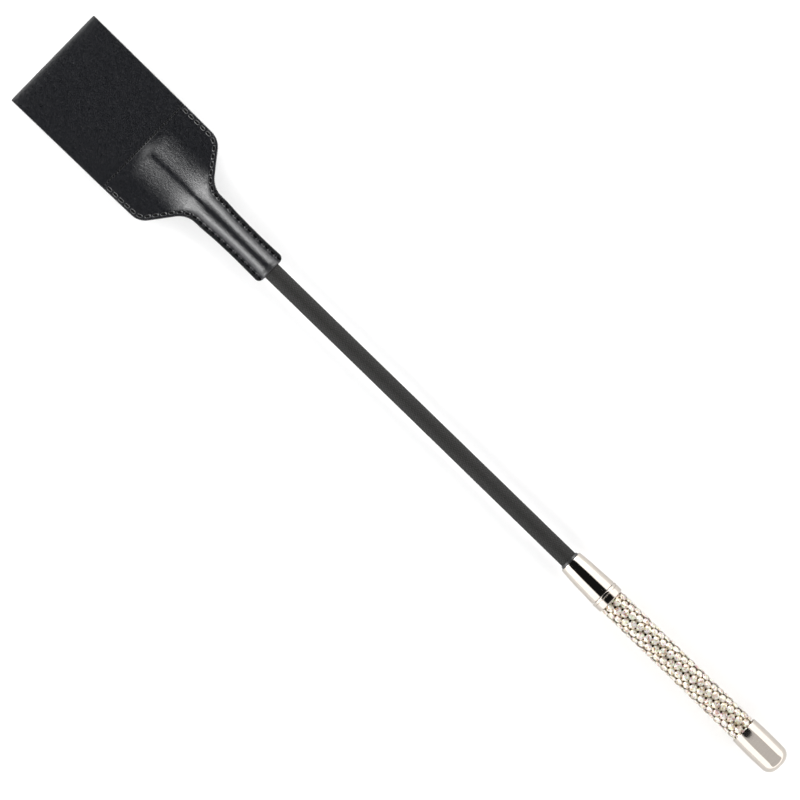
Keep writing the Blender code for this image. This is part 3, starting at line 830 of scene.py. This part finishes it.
def braidTree():
    sockets = {"Strands": 1, "Samples": 1, "Start": 1.0, "Length": 1.0, "Radius": 1.0, "Lead": 1.0,
               "Hand": 1.0, "Weave": 1.0, "Width": 1.0, "Thickness": 1.0, "Height": 1.0,
               "Material": polyesterBraid}
    tree, given = startTree("braidLay", sockets)
    strand = add(tree, "GeometryNodeMeshCylinder", {
        "Vertices": 6, "Side Segments": given["Samples"], "Radius": 1.0, "Depth": 1.0}, fill_type="NGON")
    spots = add(tree, "GeometryNodeMeshLine", {"Count": given["Strands"], "Offset": (0, 0, 0)})
    placed = add(tree, "GeometryNodeInstanceOnPoints", {"Points": spots, "Instance": strand.outputs[0]})
    number = add(tree, "GeometryNodeInputIndex")
    marked = add(tree, "GeometryNodeStoreNamedAttribute", {
        "Geometry": placed, "Name": "strand", "Value": number}, domain="INSTANCE", data_type="FLOAT")
    real = add(tree, "GeometryNodeRealizeInstances", {0: marked})
    place = add(tree, "GeometryNodeInputPosition")
    axes = add(tree, "ShaderNodeSeparateXYZ", {0: place})
    share = add(tree, "ShaderNodeMath", {0: axes.outputs[2], 1: 0.5}, operation="ADD")
    run = add(tree, "ShaderNodeMath", {0: share, 1: given["Length"]}, operation="MULTIPLY")
    x = add(tree, "ShaderNodeMath", {0: run, 1: given["Start"]}, operation="ADD")
    turns = add(tree, "ShaderNodeMath", {0: run, 1: given["Lead"]}, operation="DIVIDE")
    handed = add(tree, "ShaderNodeMath", {0: turns, 1: given["Hand"]}, operation="MULTIPLY")
    which = add(tree, "GeometryNodeInputNamedAttribute", {"Name": "strand"}, data_type="FLOAT")
    part = add(tree, "ShaderNodeMath", {0: which, 1: given["Strands"]}, operation="DIVIDE")
    whole = add(tree, "ShaderNodeMath", {0: handed, 1: part}, operation="ADD")
    # over two, under two: the wave follows the place round the shaft
    beat = add(tree, "ShaderNodeMath", {0: whole, 1: given["Strands"]}, operation="MULTIPLY")
    phase = add(tree, "ShaderNodeMath", {0: beat, 1: math.pi, 2: -math.pi / 4}, operation="MULTIPLY_ADD")
    wave = add(tree, "ShaderNodeMath", {0: phase}, operation="COSINE")
    strong = add(tree, "ShaderNodeMath", {0: wave, 1: 1.5}, operation="MULTIPLY")
    flatWave = add(tree, "ShaderNodeClamp", {"Value": strong, "Min": -1.0, "Max": 1.0})
    overUnder = add(tree, "ShaderNodeMath", {0: flatWave, 1: given["Hand"]}, operation="MULTIPLY")
    lift = add(tree, "ShaderNodeMath", {
        0: overUnder, 1: given["Weave"], 2: given["Radius"]}, operation="MULTIPLY_ADD")
    radius = add(tree, "ShaderNodeMath", {
        0: axes.outputs[1], 1: given["Thickness"], 2: lift}, operation="MULTIPLY_ADD")
    halfWide = add(tree, "ShaderNodeMath", {0: given["Width"], 1: given["Radius"]}, operation="DIVIDE")
    offset = add(tree, "ShaderNodeMath", {0: axes.outputs[0], 1: halfWide}, operation="MULTIPLY")
    angle = add(tree, "ShaderNodeMath", {0: whole, 1: 2 * math.pi, 2: offset}, operation="MULTIPLY_ADD")
    sine = add(tree, "ShaderNodeMath", {0: angle}, operation="SINE")
    cosine = add(tree, "ShaderNodeMath", {0: angle}, operation="COSINE")
    y = add(tree, "ShaderNodeMath", {0: radius, 1: sine}, operation="MULTIPLY")
    z = add(tree, "ShaderNodeMath", {0: radius, 1: cosine, 2: given["Height"]}, operation="MULTIPLY_ADD")
    final = add(tree, "ShaderNodeCombineXYZ", {0: x, 1: y, 2: z})
    moved = add(tree, "GeometryNodeSetPosition", {"Geometry": real, "Position": final})
    endTree(tree, moved, given["Material"])
    return tree


braidLay = braidTree()
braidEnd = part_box("braid_sleeve")[1].x
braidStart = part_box("yoke_front")[1].x - 8 * mm
braid = {"Strands": 26, "Samples": 520, "Radius": 5.22 * mm, "Lead": 32 * mm, "Weave": 0.17 * mm,
         "Width": 0.61 * mm, "Thickness": 0.18 * mm}
for hand, handName in ((1.0, "Right"), (-1.0, "Left")):
    piece = grow("braidLay" + handName, braidLay, dict(
        braid, Start=braidStart, Length=braidEnd - braidStart, Hand=hand, Height=axisHeight,
        Material=polyesterBraid))
    settle(piece, "shaft_braid", "braid_sleeve")


def crystalMaterial():
    # lead-free glass crystals, mirror foil behind; the colour is a painted reflection: each small cell is
    # painted pale or brown as if a facet mirrored its own part of the room, with a faint painted rainbow
    # tint
    material, tree, shader, place = startMaterial("foiledCrystal", Metallic=0.25, **{
        "Coat Weight": 0.6, "Coat Roughness": 0.03})
    cells = add(tree, "ShaderNodeTexVoronoi", {"Vector": place, "Scale": 1.15, "Randomness": 0.9})
    facets = add(tree, "ShaderNodeSeparateColor", {0: cells.outputs["Color"]})
    # painted reflection: pale champagne to dark brown per cell, standing in for facets that mirror light and
    # dark parts of the room
    paintedFacetShare = add(tree, "ShaderNodeMapRange", {"Value": facets.outputs[0], "From Min": 0.3, "From Max": 0.95})
    paintedFacetReflection = add(tree, "ShaderNodeMix", {
        0: paintedFacetShare, 6: toLinear("#c8c0b4"), 7: toLinear("#77654a")}, data_type="RGBA")
    # painted rainbow tint per cell, standing in for the crystals' coloured sparkle
    paintedRainbowTint = add(tree, "ShaderNodeMix", {
        0: 0.13, 6: paintedFacetReflection.outputs[2], 7: cells.outputs["Color"]}, data_type="RGBA")
    tree.links.new(paintedRainbowTint.outputs[2], shader.inputs["Base Color"])
    rough = add(tree, "ShaderNodeMapRange", {"Value": facets.outputs[1], "To Min": 0.1, "To Max": 0.3})
    tree.links.new(rough.outputs[0], shader.inputs["Roughness"])
    bump = add(tree, "ShaderNodeBump", {
        "Height": facets.outputs[2], "Distance": 180 * micron, "Strength": 1.0})
    tree.links.new(bump.outputs[0], shader.inputs["Normal"])
    return material


def stoneTree(name, steps):
    # steps run from the backing outwards: shares of the thickness and of the stone's radius
    sockets = {"Count": 1, "Around": 1, "A": (0.0,), "B": (0.0,), "Start": 1.0, "End": 1.0, "Radius": 1.0,
               "Shift": (0.0,), "Tuck": 1.0, "Stone": 1.0, "Thick": 1.0, "Jitter": 1.0, "Seed": 1,
               "Height": 1.0, "Material": foiledCrystal}
    tree, given = startTree(name, sockets)
    spots = add(tree, "GeometryNodeMeshLine", {"Count": given["Count"], "Offset": (0, 0, 0)})
    number = add(tree, "GeometryNodeInputIndex")
    row = add(tree, "ShaderNodeMath", {0: number, 1: given["Around"]}, operation="MODULO")
    stepped = add(tree, "ShaderNodeMath", {0: number, 1: given["Around"]}, operation="DIVIDE")
    column = add(tree, "ShaderNodeMath", {0: stepped}, operation="FLOOR")
    back = add(tree, "ShaderNodeMath", {0: column, 1: given["Around"]}, operation="SUBTRACT")
    alongA = add(tree, "ShaderNodeVectorMath", {0: given["A"], "Scale": back}, operation="SCALE")
    alongB = add(tree, "ShaderNodeVectorMath", {0: given["B"], "Scale": row}, operation="SCALE")
    spread = add(tree, "ShaderNodeVectorMath", {0: alongA, 1: alongB}, operation="ADD")
    shifted = add(tree, "ShaderNodeVectorMath", {0: spread, 1: given["Shift"]}, operation="ADD")
    laid = add(tree, "ShaderNodeSeparateXYZ", {0: shifted})
    x = add(tree, "ShaderNodeMath", {0: laid.outputs[0], 1: given["Start"]}, operation="ADD")
    angle = add(tree, "ShaderNodeMath", {0: laid.outputs[1], 1: given["Radius"]}, operation="DIVIDE")
    sine = add(tree, "ShaderNodeMath", {0: angle}, operation="SINE")
    cosine = add(tree, "ShaderNodeMath", {0: angle}, operation="COSINE")
    fromStart = add(tree, "ShaderNodeMath", {0: x, 1: given["Start"]}, operation="SUBTRACT")
    toEnd = add(tree, "ShaderNodeMath", {0: given["End"], 1: x}, operation="SUBTRACT")
    nearEnd = add(tree, "ShaderNodeMath", {0: fromStart, 1: toEnd}, operation="MINIMUM")
    tucked = add(tree, "ShaderNodeMapRange", {
        "Value": nearEnd, "From Min": 1.5 * mm, "From Max": 3 * mm, "To Min": given["Tuck"], "To Max": 0.0})
    seat = add(tree, "ShaderNodeMath", {0: given["Radius"], 1: tucked}, operation="SUBTRACT")
    y = add(tree, "ShaderNodeMath", {0: seat, 1: sine}, operation="MULTIPLY")
    z = add(tree, "ShaderNodeMath", {0: seat, 1: cosine, 2: given["Height"]}, operation="MULTIPLY_ADD")
    final = add(tree, "ShaderNodeCombineXYZ", {0: x, 1: y, 2: z})
    # each stone sits flat on the backing, turned and tipped a little at random
    low = add(tree, "ShaderNodeVectorMath", {
        0: given["Jitter"], 1: (-1.0, -1.0, -9.0)}, operation="MULTIPLY")
    high = add(tree, "ShaderNodeVectorMath", {0: given["Jitter"], 1: (1.0, 1.0, 9.0)}, operation="MULTIPLY")
    loose = add(tree, "FunctionNodeRandomValue", {
        "Seed": given["Seed"], 0: low, 1: high}, data_type="FLOAT_VECTOR")
    tip = add(tree, "FunctionNodeEulerToRotation", {0: loose.outputs[0]})
    minus = add(tree, "ShaderNodeMath", {0: angle, 1: -1.0}, operation="MULTIPLY")
    wrap = add(tree, "FunctionNodeAxisAngleToRotation", {"Axis": (1, 0, 0), "Angle": minus})
    facing = add(tree, "FunctionNodeRotateRotation", {0: tip, 1: wrap}, rotation_space="GLOBAL")
    # facing and place are kept on the points before those outside the grip are dropped
    kept = add(tree, "GeometryNodeStoreNamedAttribute", {
        "Geometry": spots, "Name": "facing", "Value": facing}, domain="POINT", data_type="QUATERNION")
    moved = add(tree, "GeometryNodeSetPosition", {"Geometry": kept, "Position": final})
    where = add(tree, "GeometryNodeInputPosition")
    whereX = add(tree, "ShaderNodeSeparateXYZ", {0: where})
    before = add(tree, "FunctionNodeCompare", {
        0: whereX.outputs[0], 1: given["Start"]}, operation="LESS_THAN")
    beyond = add(tree, "FunctionNodeCompare", {
        0: whereX.outputs[0], 1: given["End"]}, operation="GREATER_THAN")
    outside = add(tree, "FunctionNodeBooleanMath", {0: before, 1: beyond}, operation="OR")
    left = add(tree, "GeometryNodeDeleteGeometry", {"Geometry": moved, "Selection": outside}, domain="POINT")
    turnBy = add(tree, "GeometryNodeInputNamedAttribute", {"Name": "facing"}, data_type="QUATERNION")
    parts = []
    for (z0, r0), (z1, r1) in zip(steps, steps[1:]):
        lower = add(tree, "ShaderNodeMath", {0: given["Stone"], 1: r0}, operation="MULTIPLY")
        upper = add(tree, "ShaderNodeMath", {0: given["Stone"], 1: r1}, operation="MULTIPLY")
        tall = add(tree, "ShaderNodeMath", {0: given["Thick"], 1: z1 - z0}, operation="MULTIPLY")
        base = add(tree, "ShaderNodeMath", {0: given["Thick"], 1: z0}, operation="MULTIPLY")
        frustum = add(tree, "GeometryNodeMeshCone", {
            "Vertices": 12, "Radius Top": upper, "Radius Bottom": lower, "Depth": tall}, fill_type="NONE")
        lift = add(tree, "ShaderNodeCombineXYZ", {2: base})
        parts.append(add(tree, "GeometryNodeTransform", {"Geometry": frustum, "Translation": lift}))
    for z0, r0 in (steps[0], steps[-1]):
        wide = add(tree, "ShaderNodeMath", {0: given["Stone"], 1: r0}, operation="MULTIPLY")
        base = add(tree, "ShaderNodeMath", {0: given["Thick"], 1: z0}, operation="MULTIPLY")
        disc = add(tree, "GeometryNodeMeshCircle", {"Vertices": 12, "Radius": wide}, fill_type="NGON")
        lift = add(tree, "ShaderNodeCombineXYZ", {2: base})
        placed = add(tree, "GeometryNodeTransform", {"Geometry": disc, "Translation": lift})
        parts.append(placed if z0 > 0 else add(tree, "GeometryNodeFlipFaces", {0: placed}))
    joined = add(tree, "GeometryNodeJoinGeometry")
    for made in parts:
        tree.links.new(made.outputs[0], joined.inputs[0])
    stone = add(tree, "GeometryNodeMergeByDistance", {"Geometry": joined, "Distance": 10 * micron})
    placed = add(tree, "GeometryNodeInstanceOnPoints", {
        "Points": left, "Instance": stone, "Rotation": turnBy})
    endTree(tree, placed, given["Material"], smooth=False)
    return tree


foiledCrystal = crystalMaterial()
grip = {
    "stepA": (4.15, 1.98), "around": 9, "skew": 8, "columns": 37, "over": 1.4,  # lattice, wrapped round
    "stone": 2.3, "thick": 0.82, "tuck": 0.38, "jitter": math.radians(3),
    "smallPin": 0.52, "largePin": 0.8, "pinTall": 0.3,
}
stepA, wayRound = grip["stepA"], 2 * math.pi * backing["radius"]
stepB = (grip["skew"] / grip["around"] * stepA[0], (grip["skew"] * stepA[1] - wayRound) / grip["around"])
third = ((stepA[0] + stepB[0]) / 3, (stepA[1] + stepB[1]) / 3)  # pins stand at one and two thirds
girdleAndCrown = ((0.0, 0.97), (0.3, 1.0), (0.62, 0.8), (1.0, 0.46))
flatPin = ((0.0, 1.0), (0.5, 1.0), (1.0, 0.9))
lattice = {
    "Count": grip["columns"] * grip["around"], "Around": grip["around"],
    "A": (stepA[0] * mm, stepA[1] * mm, 0.0), "B": (stepB[0] * mm, stepB[1] * mm, 0.0),
    "Start": (ringEnd - grip["over"]) * mm, "End": (capX + grip["over"]) * mm,
    "Radius": backing["radius"] * mm, "Seed": 5, "Height": axisHeight,
}
for name, steps, radius, thick, tuck, jitter, thirds, material in (
    ("gripCrystals", girdleAndCrown, grip["stone"], grip["thick"], grip["tuck"], grip["jitter"],
     0, foiledCrystal),
    ("gripPinsSmall", flatPin, grip["smallPin"], grip["pinTall"], 0.0, 0.0, 1, pinBronze),
    ("gripPinsLarge", flatPin, grip["largePin"], grip["pinTall"], 0.0, 0.0, 2, pinBronze),
):
    piece = grow(name, stoneTree(name + "Tree", steps), dict(
        lattice, Shift=(thirds * third[0] * mm, thirds * third[1] * mm, 0.0), Tuck=tuck * mm,
        Stone=radius * mm, Thick=thick * mm, Jitter=jitter, Material=material))
    settle(piece, "crystal_stones", "crystal_band")
print("grip")


# CAD pieces shown as they are

for node, material in (
    ("rod_core", glassFibre), ("rod_jacket", jacketTube), ("rod_boot", blackPlastic),
    ("handle_core", coreTube), ("end_plug", blackPlastic),
):
    data = frame["nodes"][node].data
    data.materials.clear()
    data.materials.append(material)
